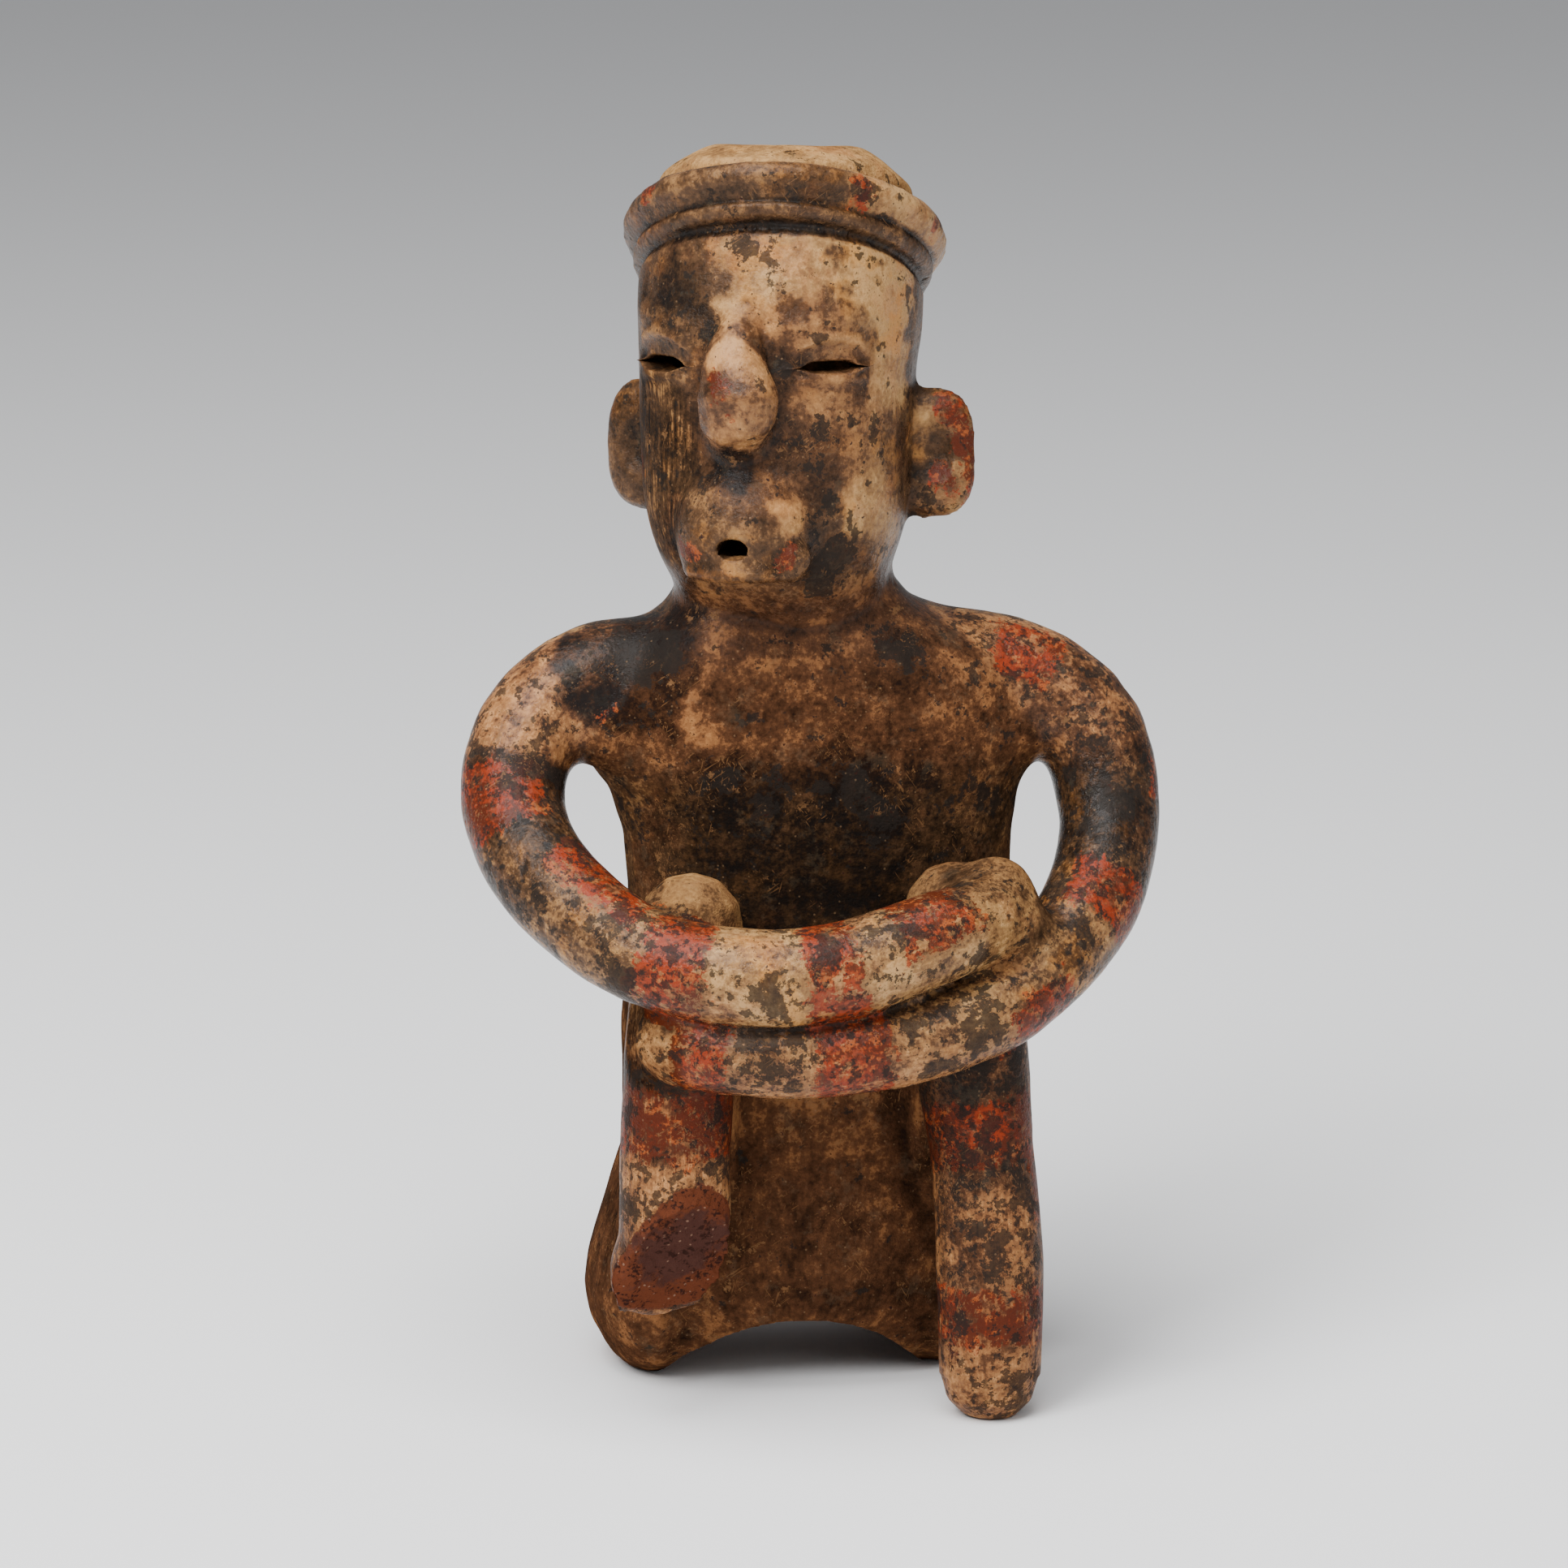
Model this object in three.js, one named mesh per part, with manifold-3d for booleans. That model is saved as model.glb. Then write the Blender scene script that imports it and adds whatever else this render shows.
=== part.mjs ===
// Hollow fired-clay figure, seated with its arms folded round its knees, in the manner of Nayarit, West Mexico.
// Millimetres, +Z up. The chest faces -Y, and the head is turned towards the figure's own right, -X.
// The figure is one piece of clay: a hollow trunk and head, with solid coils for the arms, legs and headband.
import * as THREE from "three";
import { mergeVertices } from "three/addons/utils/BufferGeometryUtils.js";
import Module from "manifold-3d";

// Real sizes, in millimetres.
const height = 250; // ground to the highest point of the crown's rim
const wall = 6; // clay of the trunk and head
const ventRadius = 8; // round hole in the crown
const slitLength = 15;
const slitHeight = 2.6;
const mouthWidth = 7.2;
const mouthHeight = 4;
const cutDepth = 3 * wall; // half depth of the eggs that cut the eyes and the mouth right through
const soleWear = 1.6; // how much of each rounded support the ground takes off
const shortestEdge = 0.01; // shorter edges, left where two surfaces cross, are closed up

// Facets of each skin: how many round it, and how many along it.
const trunkFacets = [28, 22];
const headFacets = [28, 20];
const hollowFacets = [18, 12];
const armFacets = [12, 32];
const legFacets = [14, 12];
const thighFacets = [8, 10];
const noseFacets = [12, 12];
const haunchFacets = [16, 8];
const muzzleFacets = [18, 12];
const earFacets = [20, 6];
const smallFacets = [12, 6];
const coilFacets = [8, 32];
const ventFacets = 18;
const archFacets = 36;
const capRows = 3; // rows of facets in each rounded end of a limb

// Pose and proportions are shares of the height: one unit is a hundredth of it.
const unit = height / 100;
const at = (x, y, z) => new THREE.Vector3(x, y, z).multiplyScalar(unit);
const mm = (sizes) => sizes.map((size) => size * unit);
const down = new THREE.Vector3(0, 0, -1);

// Trunk and neck, from the ground up. Each section is its height, its middle in X, its half width,
// and the Y of its front and of its back.
const trunkSections = [
  [-0.3, -0.3, 12.8, -1.6, 11.0],
  [1.4, -0.3, 15.0, -4.4, 13.4],
  [4.0, -0.2, 16.5, -7.0, 15.0],
  [8.5, 0, 17.0, -8.2, 15.4],
  [13.0, 0.4, 16.2, -8.6, 14.8],
  [18.0, 0.8, 15.0, -8.6, 13.6],
  [23.5, 0.5, 14.8, -8.2, 12.4],
  [30.0, 0.8, 15.2, -7.8, 11.4],
  [37.0, 1.3, 15.4, -7.6, 10.8],
  [43.0, 1.5, 15.6, -7.8, 10.6],
  [47.6, 1.2, 16.2, -8.2, 11.0],
  [50.6, 1.0, 18.2, -8.4, 11.2],
  [54.0, 0.8, 18.8, -8.4, 11.2],
  [57.8, 0.6, 17.6, -8.1, 10.8],
  [60.6, 0.1, 14.6, -7.6, 10.0],
  [62.6, -0.7, 10.6, -6.8, 9.0],
  [64.6, -1.1, 8.7, -6.2, 8.4],
  [69.0, -1.2, 8.2, -5.8, 8.0],
];
const trunkSquareness = 2.5;

// The underside is arched from side to side, so the figure sits on its two haunches and its foot.
const archRadius = 12.4;
const archRise = 5.9;
const archMiddle = -1;

// Head and crown in the head's own frame, from the neck up. Each section is its height, its half width,
// the Y of its front and of its back, and how steeply it rises towards the front.
const headSections = [
  [-3.0, 7.2, -4.6, 7.4, 0],
  [0.0, 8.1, -6.8, 8.2, 0],
  [2.4, 8.6, -9.4, 9.0, 0],
  [5.2, 9.5, -11.2, 9.8, 0],
  [9.0, 10.4, -11.8, 10.4, 0],
  [14.0, 10.6, -12.1, 10.8, 0.04],
  [19.2, 10.8, -12.2, 11.2, 0.16],
  [24.0, 11.1, -11.5, 11.8, 0.34],
  [28.0, 10.8, -10.0, 12.4, 0.46],
  [31.2, 11.0, -9.0, 12.8, 0.4],
  [33.8, 9.6, -7.0, 11.4, 0.24],
  [35.6, 6.6, -4.4, 8.4, 0.1],
  [36.0, 5.5, -3.6, 7.2, 0.08],
];
const headSquareness = 2.3;
const headPlace = at(-1.85, -0.8, 63.57);
const headTurn = -23.5; // degrees about +Z
const headNod = -3; // degrees about the head's own +X, leaning back
const headLean = -1; // degrees about the head's own +Y, leaning to its right

// Headband: a thick coil on a thinner one, both rising towards the front and a little to the figure's left.
const bandCoil = { level: 29, halfWidth: 10.7, front: -10, back: 12.4, thick: 1.9 };
const bandBead = { level: 26.8, halfWidth: 10.9, front: -10.9, back: 12.2, thick: 1.05 };
const bandRise = { front: 0.45, left: 0.08 };
const crownMiddle = 1.7; // the crown's middle lies behind the head's

// Centre lines of the limbs, each with the limb's radius at evenly spaced places along it.
const rightArm = {
  path: [
    [-5, 1.2, 56.6], [-16.4, 0.6, 57.4], [-22.1, -1.6, 53.6], [-23.7, -4.4, 49], [-22.7, -8.6, 45.1],
    [-19.2, -13.4, 41.5], [-13.9, -18.2, 38.7], [-6.8, -20.9, 37.7], [0, -21.2, 38.1], [6.6, -19.8, 39.8], [12.1, -17.2, 41.1],
  ],
  radii: [5.6, 4.9, 4.6, 4.3, 4.1, 4, 3.9, 3.8, 3.8, 3.8, 3.7, 3.4],
};
const leftArm = {
  path: [
    [5, 1.2, 56.6], [15.8, 0.6, 57], [22.6, -1.4, 52.8], [24.1, -3.8, 47.2], [23, -7.4, 42.4],
    [19.4, -12.2, 37.9], [14.4, -16.6, 34.6], [8.4, -19.4, 32.6], [0, -20.6, 31.6], [-6.4, -20, 31.4], [-12.6, -17.4, 32],
  ],
  radii: [5.6, 5, 4.7, 4.4, 4.1, 3.9, 3.7, 3.5, 3.4, 3.4, 3.4, 3.5],
};
const rightLeg = {
  path: [[-10.8, -12.4, 40], [-11.6, -13, 31], [-12.1, -13.6, 22], [-12.2, -14, 9]],
  radii: [4.3, 4.4, 4.4, 4.4],
};
const leftLeg = {
  path: [[10.7, -12.4, 40], [11.4, -13.1, 31], [12.3, -13.8, 21.7], [12.9, -14.6, 12.7], [12.8, -15.2, 3.4]],
  radii: [4.5, 4.7, 4.2, 4.3, 4.1],
};
const rightThigh = { path: [[-10.2, -1, 10], [-10, -6, 22], [-10.2, -10.4, 34]], radii: [5.6, 4.6, 3.8] };
const leftThigh = { path: [[10.6, -1, 10], [11, -6, 22], [11, -10.4, 34]], radii: [5.6, 4.6, 3.8] };

// Haunches: the rounded back corners that the figure sits on.
const haunchSize = [5, 10.4, 7];
const haunchPlaces = [[-12.4, 3.4], [11.4, 3.4]];

// The right shin is broken off, along a rough plane that faces forward and down.
const breakPlace = at(-11.8, -15.2, 14.6);
const breakFacing = new THREE.Vector3(0.24, -0.8, -0.55).normalize();

// Face, in the head's own frame.
const nose = {
  path: [[0, -10.8, 23.6], [0, -12.3, 21.4], [0, -13.4, 18.6], [0, -13.4, 16.4], [0, -12.2, 14.8]],
  radii: [1.4, 2, 2.6, 3, 2.7],
};
const muzzleSize = [5.8, 4.6, 6];
const muzzlePlace = [0, -10.2, 7];
const muzzleBase = 3.5; // height of the flat ledge under the lips
const mouthPlace = [0, -12, 5.9];
const eyePlace = { across: 6.8, forward: 9.7, level: 19.7, turn: 36 };
const lidSize = [3.7, 0.75, 1.5];
const earPlace = { across: 11.3, forward: -2.6, level: 11.9, turn: 10 };
const earSize = [4, 1.9, 5.4];
const earSquareness = 2.8;
const earDish = [2.2, 1, 3];

const wasm = await Module();
wasm.setup();

// A closed three.js geometry as a solid that can be joined and cut.
function solid(geometry) {
  const bare = geometry.clone();
  bare.deleteAttribute("normal");
  bare.deleteAttribute("uv");
  const merged = mergeVertices(bare, 1e-4);
  const mesh = new wasm.Mesh({
    numProp: 3,
    vertProperties: merged.attributes.position.array,
    triVerts: new Uint32Array(merged.index.array),
  });
  return new wasm.Manifold(mesh);
}

// A solid as a three.js geometry.
function geometryOf(piece) {
  const mesh = piece.getMesh();
  const geometry = new THREE.BufferGeometry();
  geometry.setAttribute("position", new THREE.BufferAttribute(mesh.vertProperties, mesh.numProp));
  geometry.setIndex(new THREE.BufferAttribute(mesh.triVerts, 1));
  return geometry;
}

const join = (pieces) => pieces.reduce((whole, piece) => whole.add(piece));
const radians = THREE.MathUtils.degToRad;

// Closes up every edge that is too short to keep, and drops the triangles that fold away with it.
function withoutSlivers(geometry) {
  const { position } = geometry.attributes;
  const corners = Array.from({ length: position.count }, (_, i) => new THREE.Vector3().fromBufferAttribute(position, i));
  const keeper = corners.map((_, i) => i);
  const kept = (i) => (keeper[i] === i ? i : kept(keeper[i]));
  const triangles = [];
  for (let i = 0; i < geometry.index.count; i += 3) {
    triangles.push([0, 1, 2].map((k) => geometry.index.getX(i + k)));
  }
  for (const triangle of triangles) {
    triangle.forEach((from, k) => {
      const to = triangle[(k + 1) % 3];
      if (corners[from].distanceTo(corners[to]) < shortestEdge) keeper[kept(from)] = kept(to);
    });
  }
  const folded = new Map();
  for (const triangle of triangles.map((corner) => corner.map(kept))) {
    if (new Set(triangle).size < 3) continue;
    const key = triangle.toSorted((a, b) => a - b).join();
    if (!folded.delete(key)) folded.set(key, triangle);
  }
  geometry.setIndex([...folded.values()].flat());
  return mergeVertices(geometry, shortestEdge / 100);
}

// A sphere's surface moved to wherever place(u, v) says: u runs once round, and v from the first pole to the last.
function skin([around, along], place) {
  const geometry = new THREE.SphereGeometry(1, around, along);
  const { position, uv } = geometry.attributes;
  for (let i = 0; i < position.count; i++) {
    const point = place(uv.getX(i), 1 - uv.getY(i));
    position.setXYZ(i, point.x, point.y, point.z);
  }
  return geometry;
}

// Reads a table of sections anywhere from its first row, 0, to its last, 1, on a smooth curve through the rows.
function smoothRow(table, share) {
  const last = table.length - 1;
  const place = THREE.MathUtils.clamp(share, 0, 1) * last;
  const row = Math.min(Math.floor(place), last - 1);
  const t = place - row;
  const near = (i) => table[THREE.MathUtils.clamp(i, 0, last)];
  return table[0].map((_, column) => {
    const [a, b, c, d] = [-1, 0, 1, 2].map((step) => near(row + step)[column]);
    return b + (t / 2) * (c - a + t * (2 * a - 5 * b + 4 * c - d + t * (3 * b - a - 3 * c + d)));
  });
}

// A signed power, which squares off a circle's sine or cosine.
const squared = (value, squareness) => Math.sign(value) * Math.abs(value) ** (2 / squareness);

// A closed skin through a table of sections, with a flat end below its first row and above its last.
// ring gives a section's points: its share of the way up, then the sine and cosine of the angle round it.
function lofted(facets, squareness, ring) {
  const rows = facets[1];
  return skin(facets, (u, v) => {
    const share = (v * rows - 1) / (rows - 2);
    const open = share < 0 || share > 1 ? 0 : 1;
    const angle = -2 * Math.PI * u;
    return ring(
      THREE.MathUtils.clamp(share, 0, 1),
      open * squared(Math.cos(angle), squareness),
      open * squared(Math.sin(angle), squareness),
    );
  });
}

// The trunk's skin, moved inwards by inset millimetres.
function trunk(inset, facets) {
  return lofted(facets, trunkSquareness, (share, cos, sin) => {
    const [z, midX, halfWidth, front, back] = smoothRow(trunkSections, share).map((size) => size * unit);
    const x = midX + cos * (halfWidth - inset);
    const y = (front + back) / 2 + sin * ((back - front) / 2 - inset);
    return new THREE.Vector3(x, y, z + inset * Math.max(1 - 2 * share, 0));
  });
}

// The skin of the head and crown, moved inwards by inset millimetres.
function head(inset, facets) {
  return lofted(facets, headSquareness, (share, cos, sin) => {
    const [z, halfWidth, front, back, slope] = smoothRow(headSections, share);
    const x = cos * (halfWidth * unit - inset);
    const y = ((front + back) / 2) * unit + sin * (((back - front) / 2) * unit - inset);
    return new THREE.Vector3(x, y, z * unit - y * slope - inset * Math.max(2 * share - 1, 0));
  });
}

// A limb of clay: a round section along a smooth line, with rounded ends.
function limb({ path, radii }, facets) {
  const curve = new THREE.CatmullRomCurve3(path.map((point) => at(...point)), false, "centripetal");
  const steps = facets[1] - 2 * capRows;
  const frames = curve.computeFrenetFrames(steps, false);
  return skin(facets, (u, v) => {
    const row = Math.round(v * facets[1]);
    const step = THREE.MathUtils.clamp(row - capRows, 0, steps);
    const pastEnd = (row - capRows - step) / capRows;
    const radius = smoothRow(radii.map((r) => [r * unit]), step / steps)[0];
    const reach = radius * Math.cos((Math.PI / 2) * pastEnd);
    const angle = 2 * Math.PI * u;
    return curve
      .getPointAt(step / steps)
      .addScaledVector(frames.tangents[step], radius * Math.sin((Math.PI / 2) * pastEnd))
      .addScaledVector(frames.normals[step], reach * Math.cos(angle))
      .addScaledVector(frames.binormals[step], -reach * Math.sin(angle));
  });
}

// An egg of clay with the given half sizes, turned about its upright axis and set in place.
function egg(size, place, facets, turn = 0) {
  return new THREE.SphereGeometry(1, ...facets)
    .rotateX(Math.PI / 2)
    .scale(...size)
    .rotateZ(radians(turn))
    .translate(...place);
}

// A thick leaf of clay that stands upright, facing the front, with a squared-off outline.
function leaf([halfWidth, halfThick, halfHeight], place, turn) {
  return skin(earFacets, (u, v) => {
    const reach = Math.sin(Math.PI * v);
    const x = halfWidth * reach * squared(Math.cos(2 * Math.PI * u), earSquareness);
    const z = halfHeight * reach * squared(Math.sin(2 * Math.PI * u), earSquareness);
    return new THREE.Vector3(x, -halfThick * Math.cos(Math.PI * v), z);
  })
    .rotateZ(radians(turn))
    .translate(...place);
}

// A coil laid round the head, following its sloping upper edge.
function coil({ level, halfWidth, front, back, thick }) {
  const geometry = new THREE.TorusGeometry(halfWidth, thick, ...coilFacets);
  const { position } = geometry.attributes;
  for (let i = 0; i < position.count; i++) {
    const y = (front + back) / 2 + (position.getY(i) * (back - front)) / (2 * halfWidth);
    const rise = position.getX(i) * bandRise.left - y * bandRise.front;
    position.setXYZ(i, position.getX(i) * unit, y * unit, (level + position.getZ(i) + rise) * unit);
  }
  return geometry;
}

// A block far larger than the figure, whose one face passes through a point. The block lies on the side it faces.
function halfSpace(point, facing) {
  const reach = 2 * height;
  const turn = new THREE.Quaternion().setFromUnitVectors(new THREE.Vector3(0, 0, 1), facing);
  return new THREE.BoxGeometry(reach, reach, reach)
    .translate(0, 0, reach / 2)
    .applyQuaternion(turn)
    .translate(point.x, point.y, point.z);
}

// Moves a geometry from the head's own frame to the figure's.
function onNeck(geometry) {
  return geometry
    .rotateY(radians(headLean))
    .rotateX(radians(headNod))
    .rotateZ(radians(headTurn))
    .translate(headPlace.x, headPlace.y, headPlace.z);
}

// One eye's shape: side is 1 for the figure's left and -1 for its right.
function eye(side, size) {
  const { across, forward, level, turn } = eyePlace;
  return onNeck(egg(size, mm([side * across, -forward, level]), smallFacets, side * turn));
}

// An ear: a leaf of clay, dished on the side that faces forward.
function ear(side) {
  const { across, forward, level, turn } = earPlace;
  const rim = forward + earSize[1];
  const whole = solid(onNeck(leaf(mm(earSize), mm([side * across, -forward, level]), side * turn)));
  const dish = egg(mm(earDish), mm([side * (across + earDish[0] / 4), -rim, level]), smallFacets, side * turn);
  return whole.subtract(solid(onNeck(dish)));
}

// Nose, lips and eyelids.
function faceRelief() {
  const lips = solid(egg(mm(muzzleSize), mm(muzzlePlace), muzzleFacets));
  const underLips = halfSpace(at(0, 0, muzzleBase), down);
  const muzzle = solid(onNeck(geometryOf(lips.subtract(solid(underLips)))));
  const lids = [-1, 1].map((side) => solid(eye(side, mm(lidSize))));
  return join([solid(onNeck(limb(nose, noseFacets))), muzzle, ...lids]);
}

// The head with its headband, crown, ears and face.
function headPiece() {
  const coils = [bandCoil, bandBead].map((band) => solid(onNeck(coil(band))));
  return join([solid(onNeck(head(0, headFacets))), ...coils, ear(-1), ear(1), faceRelief()]);
}

// Arms, legs, thighs and haunches.
function limbs() {
  const brokenShin = solid(limb(rightLeg, legFacets)).subtract(solid(halfSpace(breakPlace, breakFacing)));
  const haunches = haunchPlaces.map(([x, y]) => {
    const middle = haunchSize[2] * unit - soleWear;
    return solid(egg(mm(haunchSize), [x * unit, y * unit, middle], haunchFacets));
  });
  const arms = [rightArm, leftArm].map((arm) => solid(limb(arm, armFacets)));
  const thighs = [rightThigh, leftThigh].map((thigh) => solid(limb(thigh, thighFacets)));
  return join([...arms, ...thighs, ...haunches, solid(limb(leftLeg, legFacets)), brokenShin]);
}

// A round bar from front to back under the figure. The underside's arch is its top.
function archBar() {
  return new THREE.CylinderGeometry(archRadius * unit, archRadius * unit, height, archFacets)
    .translate(archMiddle * unit, 0, (archRise - archRadius) * unit);
}

// The round hole in the crown, cut from well above it down into the hollow.
function vent() {
  const crown = headSections.at(-1)[0] * unit;
  return new THREE.CylinderGeometry(ventRadius, ventRadius, 4 * wall, ventFacets)
    .rotateX(Math.PI / 2)
    .translate(0, crownMiddle * unit, crown);
}

// The space inside, open through the crown, the eyes and the mouth. Its floor is level, one wall above the arch.
function hollow() {
  const slits = [-1, 1].map((side) => eye(side, [slitLength / 2, cutDepth, slitHeight / 2]));
  const mouth = egg([mouthWidth / 2, cutDepth, mouthHeight / 2], mm(mouthPlace), smallFacets);
  const openings = [onNeck(head(wall, hollowFacets)), onNeck(vent()), onNeck(mouth), ...slits].map(solid);
  const floor = solid(halfSpace(new THREE.Vector3(0, 0, archRise * unit + wall), down));
  return join([solid(trunk(wall, hollowFacets)).subtract(floor), ...openings]);
}

function figure() {
  const clay = join([solid(trunk(0, trunkFacets)), limbs(), headPiece()]);
  const ground = solid(halfSpace(new THREE.Vector3(), down));
  const geometry = withoutSlivers(geometryOf(clay.subtract(hollow()).subtract(solid(archBar())).subtract(ground)));
  geometry.computeBoundingBox();
  const middle = geometry.boundingBox.getCenter(new THREE.Vector3());
  geometry.translate(-middle.x, -middle.y, -geometry.boundingBox.min.z);
  geometry.computeVertexNormals();
  const clayFinish = new THREE.MeshStandardMaterial({ color: 0x7a5237, roughness: 0.55, metalness: 0 });
  const mesh = new THREE.Mesh(geometry, clayFinish);
  mesh.name = "figure";
  return mesh;
}

const part = new THREE.Group();
part.add(figure());
export default part;
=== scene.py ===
import bpy
import numpy as np
from mathutils import Matrix, Vector
from mathutils.bvhtree import BVHTree


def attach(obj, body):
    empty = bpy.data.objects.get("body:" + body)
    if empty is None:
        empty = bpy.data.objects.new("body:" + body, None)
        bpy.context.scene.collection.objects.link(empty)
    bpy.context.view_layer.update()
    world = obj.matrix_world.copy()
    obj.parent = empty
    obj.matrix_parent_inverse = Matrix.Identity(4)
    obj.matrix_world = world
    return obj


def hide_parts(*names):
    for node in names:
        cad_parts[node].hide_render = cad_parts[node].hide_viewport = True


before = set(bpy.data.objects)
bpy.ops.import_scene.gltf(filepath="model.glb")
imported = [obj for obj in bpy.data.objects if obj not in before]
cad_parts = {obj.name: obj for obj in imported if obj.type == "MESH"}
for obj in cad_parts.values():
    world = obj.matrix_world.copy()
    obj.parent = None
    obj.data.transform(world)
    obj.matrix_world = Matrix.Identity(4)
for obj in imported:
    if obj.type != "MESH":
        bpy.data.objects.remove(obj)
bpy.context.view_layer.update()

MM = 0.001
UNIT = 2.5  # a hundredth of the figure's height
MIDDLE = np.array([0.495, -12.162, 0.0])  # the solid's middle, in the maker's frame

# Centre lines of the limbs in units, and the limbs' radii at evenly spaced places along them.
LIMBS = {
    "right arm": (
        [(-5, 1.2, 56.6), (-16.4, 0.6, 57.4), (-22.1, -1.6, 53.6), (-23.7, -4.4, 49), (-22.7, -8.6, 45.1),
         (-19.2, -13.4, 41.5), (-13.9, -18.2, 38.7), (-6.8, -20.9, 37.7), (0, -21.2, 38.1),
         (6.6, -19.8, 39.8), (12.1, -17.2, 41.1)],
        [5.6, 4.9, 4.6, 4.3, 4.1, 4, 3.9, 3.8, 3.8, 3.8, 3.7, 3.4],
    ),
    "left arm": (
        [(5, 1.2, 56.6), (15.8, 0.6, 57), (22.6, -1.4, 52.8), (24.1, -3.8, 47.2), (23, -7.4, 42.4),
         (19.4, -12.2, 37.9), (14.4, -16.6, 34.6), (8.4, -19.4, 32.6), (0, -20.6, 31.6), (-6.4, -20, 31.4),
         (-12.6, -17.4, 32)],
        [5.6, 5, 4.7, 4.4, 4.1, 3.9, 3.7, 3.5, 3.4, 3.4, 3.4, 3.5],
    ),
    "right leg": (
        [(-10.8, -12.4, 40), (-11.6, -13, 31), (-12.1, -13.6, 22), (-12.2, -14, 9)],
        [4.3, 4.4, 4.4, 4.4],
    ),
    "left leg": (
        [(10.7, -12.4, 40), (11.4, -13.1, 31), (12.3, -13.8, 21.7), (12.9, -14.6, 12.7), (12.8, -15.2, 3.4)],
        [4.5, 4.7, 4.2, 4.3, 4.1],
    ),
}

# The head's own frame: where it stands, and how it is turned, nodded and leaned, in degrees.
HEAD_PLACE = np.array([-1.85, -0.8, 63.57]) * UNIT
HEAD_TURNS = {"Z": -23.5, "X": -3, "Y": -1}

# The eyes in the head's frame, in mm, and how far they turn to the sides, in degrees.
EYE = {"across": 17, "forward": 24.2, "level": 49.2, "turn": 36}

# The mouth's middle in the head's frame, and the half sizes and place of the tool that opens it, in mm.
MOUTH = np.array([0, -30, 14.8])
MOUTH_TOOL = {"size": (3.6, 9, 2.7), "place": (0.2, -30, 13.6)}

# The slits of the right eye (-1) and the left (1): half the blade's height in mm, and by what share the whole
# slit and its ends are drawn in.
SLITS = {
    -1: {"half": 1.6, "narrow": 0.05, "pinch": 0.9},
    1: {"half": 0.9, "narrow": 0.2, "pinch": 0.7},
}
SLIT_BLADE = {"half length": 7.9, "half depth": 9}

# Levels on the headband in mm, as band_level measures them: for the modelling and for the painting.
BAND = {"low crease": 63.9, "bead": 66.5, "high crease": 68.6, "coil": 74, "coil top": 77, "slope": 80.5}
# The painting's levels include the line of a painted shadow under the bead.
PAINTED_BAND = {"crease_shade": 63.6, "bead": 66.7, "coil": 73.4, "crown": 77.2}

# The break of the right shin, and how deep its roughness goes in mm.
BREAK_PLACE = np.array([-11.8, -15.2, 14.6]) * UNIT
BREAK_FACING = np.array([0.24, -0.8, -0.55])
BREAK_RADIUS = 17
BREAK_DEPTH = 2.6

# The size of the skin's faces in mm, the share of them that the hollow's lining keeps, and the triangles that
# the finished skin may have.
SKIN_FACE = 0.75
LINING_KEPT = 0.08
TRIANGLES = 194000

# Rounds of smoothing over all the skin, its broad forms, the muzzle, the melted joins and the slits' edges.
ROUNDS = {"all": 8, "broad": 40, "muzzle": 75, "joins": 160, "slits": 5}

# The depth inside a slip patch, in mm, that stands for bare clay.
BARE = -9.0

# Pats of clay pressed into the joins: at the armpits and between the right hand and the left arm.
PATS = [((-41, -7, 133), 6.5), ((43, -7, 133), 6.5), ((38, -40, 99), 6.5), ((33, -36, 105), 8.5)]

# Places where two forms melt together, with the radius of the soft part in mm.
MELTED = [
    ((32, -41, 103), 17), ((-32, -41, 80), 15), ((-25, -38, 96), 11), ((-32, -4, 146), 22),
    ((33, -4, 146), 22), ((-42, -7, 132), 14), ((44, -7, 132), 14), ((-32, -31, 19), 9),
]

# Fuller places of the nose and the stump, and hollows of the left knee and ear: radius and height in mm.
FULLER = [
    ((-11.5, -36, 203), 10, 1.7), ((-24.5, -28, 214), 8, 0.7), ((-13, -33, 208), 8, 0.5),
    ((-42, -33, 30), 10, 1.8), ((26, -34, 117), 8, -1.3), ((28, -10, 190), 8, -1.3),
]

# The mesh.


def deselect():
    bpy.ops.object.select_all(action="DESELECT")


def use(piece):
    deselect()
    piece.select_set(True)
    bpy.context.view_layer.objects.active = piece


def finish_modifier(piece, kind, **settings):
    """Adds a modifier, sets it and applies it."""
    modifier = piece.modifiers.new(kind.title(), kind)
    for name, value in settings.items():
        setattr(modifier, name, value)
    use(piece)
    bpy.ops.object.modifier_apply(modifier=modifier.name)


def points_of(piece):
    """The vertices in the maker's frame, in millimetres, and their outward directions."""
    count = len(piece.data.vertices)
    places = np.empty(count * 3)
    piece.data.vertices.foreach_get("co", places)
    facings = np.empty(count * 3)
    piece.data.vertex_normals.foreach_get("vector", facings)
    return places.reshape(-1, 3) / MM + MIDDLE, facings.reshape(-1, 3)


def move_points(piece, places):
    piece.data.vertices.foreach_set("co", ((places - MIDDLE) * MM).ravel())
    piece.data.update()


def fade(distance, near, far):
    """1 up to near, 0 from far on, and a smooth fall between."""
    t = np.clip((distance - near) / (far - near), 0, 1)
    return 1 - t * t * (3 - 2 * t)


def away(places, point):
    """The distance of each vertex from a point."""
    return np.linalg.norm(places - np.array(point), axis=1)


def egg(places, middle, halves):
    """The distance of each vertex from the middle of an egg, as a share of its half sizes."""
    return np.linalg.norm((places - np.array(middle)) / np.array(halves), axis=1)


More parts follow.
